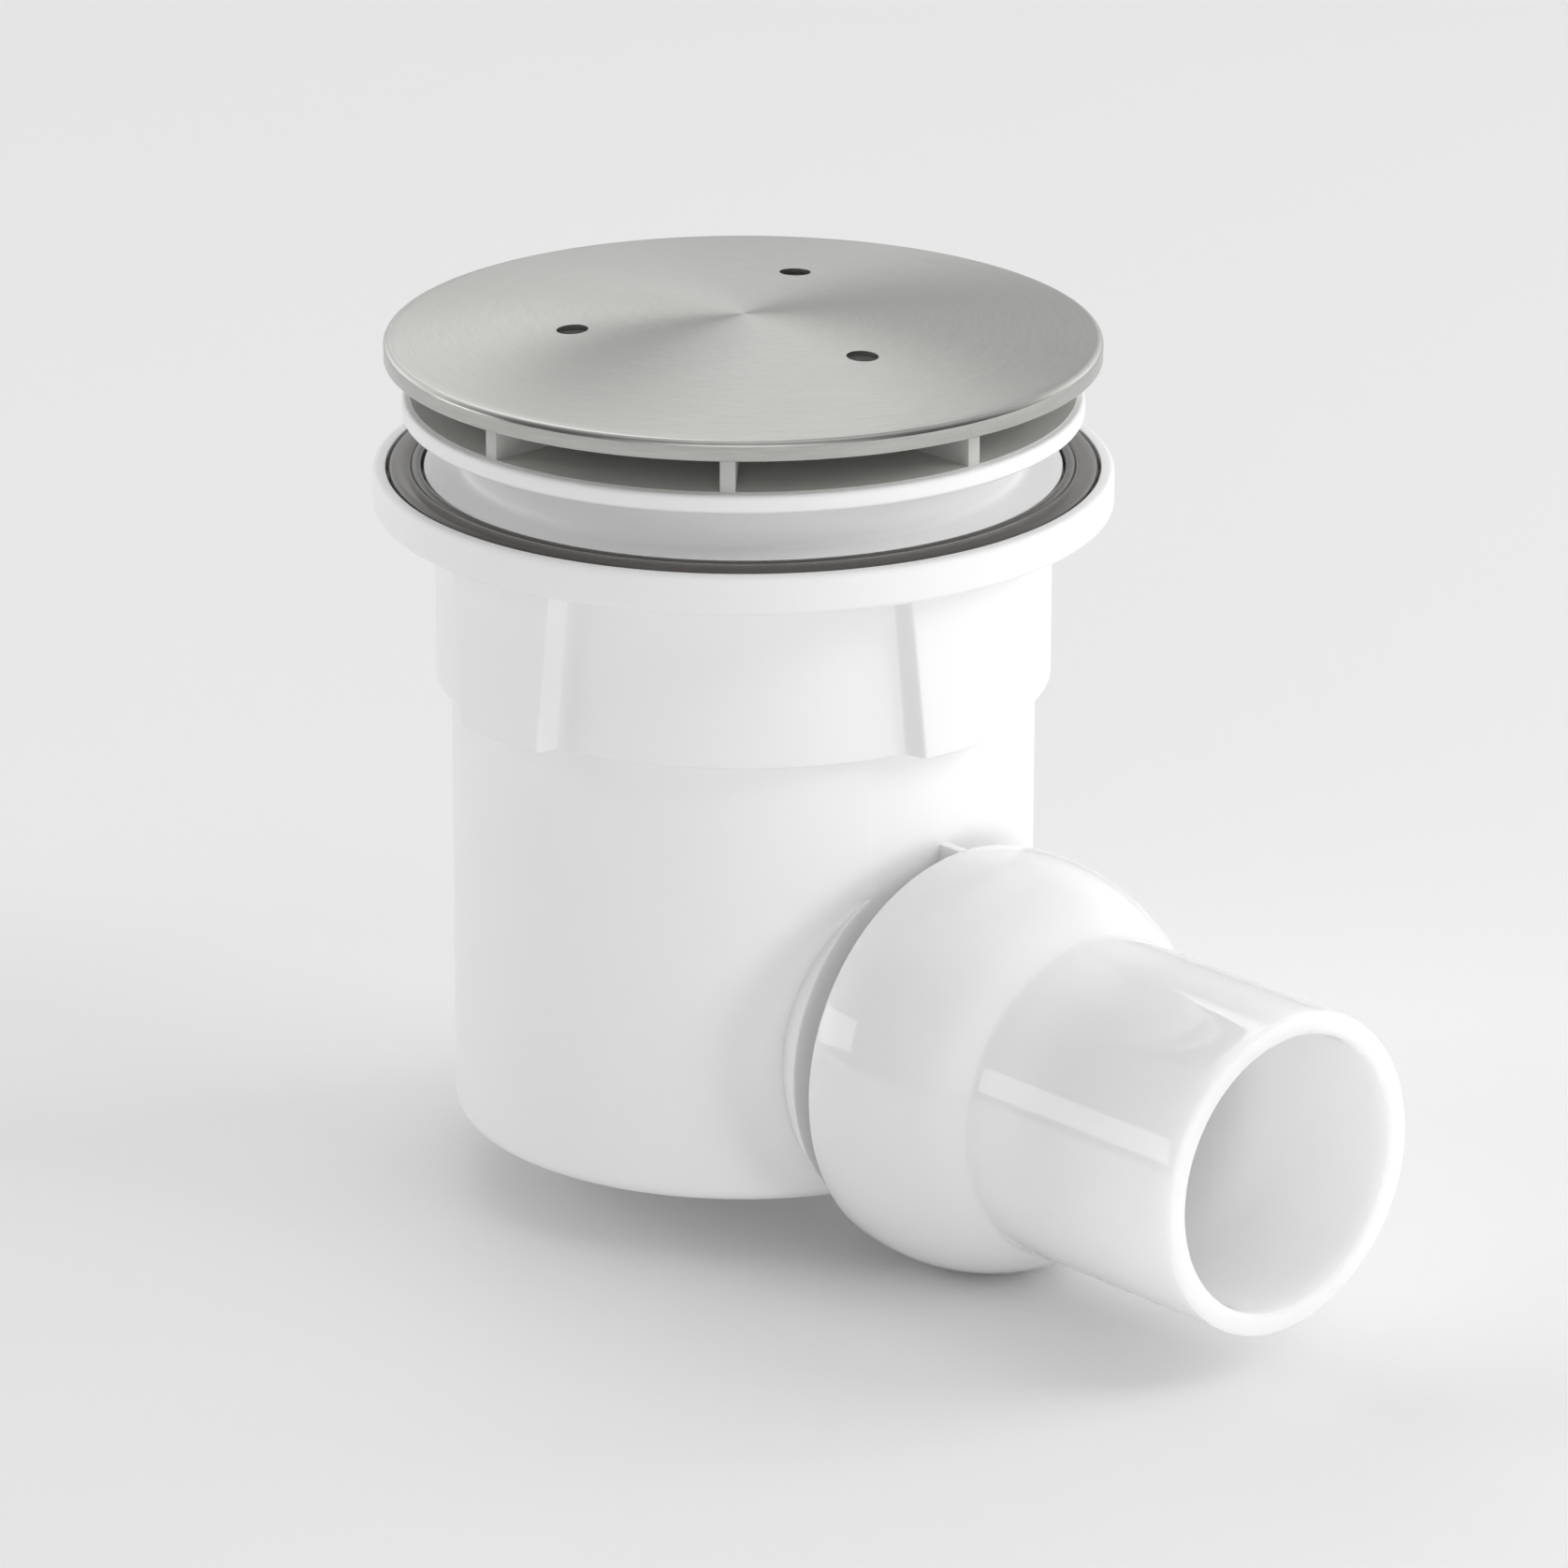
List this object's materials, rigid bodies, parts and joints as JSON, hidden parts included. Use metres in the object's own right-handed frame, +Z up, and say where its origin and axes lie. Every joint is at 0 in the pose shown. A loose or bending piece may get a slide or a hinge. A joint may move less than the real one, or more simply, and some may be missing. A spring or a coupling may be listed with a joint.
{
  "type": "shower trap",
  "caption": "Shower trap for a round tray hole: domed steel cover on ribs, clamping ring, sealed flange, cup body and ball-backed side spigot.",
  "frame": {"origin": "centre of the tray hole, on the trap's axis, at the top of the flange where the underside of the tray rests", "axes": "+Z up along the trap's axis through the cover, +X along the outlet, towards the spigot's end"},
  "size_m": [0.1776, 0.1148, 0.1395],
  "materials": {
    "brushed_steel": "turned brushing, satin",
    "grey_plastic": "moulded, satin grey",
    "grey_insert_plastic": "moulded, light grey",
    "white_satin_plastic": "moulded, satin white",
    "white_gloss_plastic": "moulded, gloss white",
    "brown_rubber": "moulded, dark grey-brown with a soft sheen",
    "black_rubber": "moulded, black"
  },
  "bodies": {
    "root": {"cover_plate": "brushed_steel", "cover_carrier": "grey_plastic", "cover_grip_ring": "black_rubber", "clamping_sleeve": "white_satin_plastic", "hair_strainer": "grey_insert_plastic", "flange_seal": "brown_rubber", "flange_collar": "white_satin_plastic", "body_gasket": "black_rubber", "trap_body": "white_satin_plastic", "dip_tube": "grey_insert_plastic", "dip_tube_o_ring": "black_rubber", "siphon_cup": "grey_insert_plastic", "outlet_connector": "white_gloss_plastic", "outlet_o_ring": "black_rubber"}
  },
  "joints": []
}
